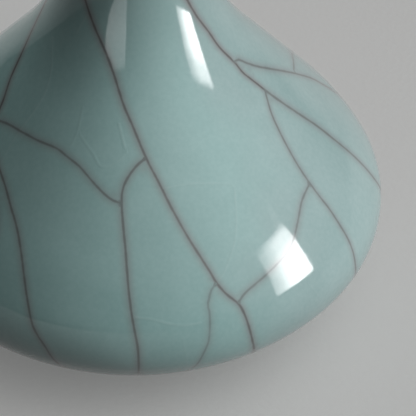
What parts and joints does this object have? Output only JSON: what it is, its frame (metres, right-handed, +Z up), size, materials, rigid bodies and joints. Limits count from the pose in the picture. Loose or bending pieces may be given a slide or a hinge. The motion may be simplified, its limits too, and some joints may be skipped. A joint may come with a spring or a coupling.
{
  "type": "double gourd vase",
  "caption": "Free-standing double gourd vase: squat lower bulb, slender waist, small upper bulb and collar, in crackled grey-green celadon glaze; holds water and flower stems.",
  "frame": {"origin": "middle of the foot ring's resting face", "axes": "+Z up along the axis of revolution, from the foot to the mouth"},
  "size_m": [0.12, 0.12, 0.1895],
  "materials": {
    "clay": "fired grey stoneware, matt",
    "bare_foot": "bare iron-brown clay, matt",
    "slip": "fired luting slip, matt",
    "celadon_glaze": "glossy grey-green celadon with dark stained crackle",
    "lining_glaze": "glossy grey-green celadon lining"
  },
  "bodies": {
    "root": {"foot_ring": "bare_foot", "lower_bowl": "clay", "lower_shoulder": "clay", "upper_bowl": "clay", "upper_shoulder": "clay", "mouth_collar": "clay", "foot_slip_seam": "slip", "belly_slip_seam": "slip", "waist_slip_seam": "slip", "upper_belly_slip_seam": "slip", "collar_slip_seam": "slip", "outer_glaze": "celadon_glaze", "inner_glaze": "lining_glaze", "base_glaze": "celadon_glaze"}
  },
  "joints": []
}
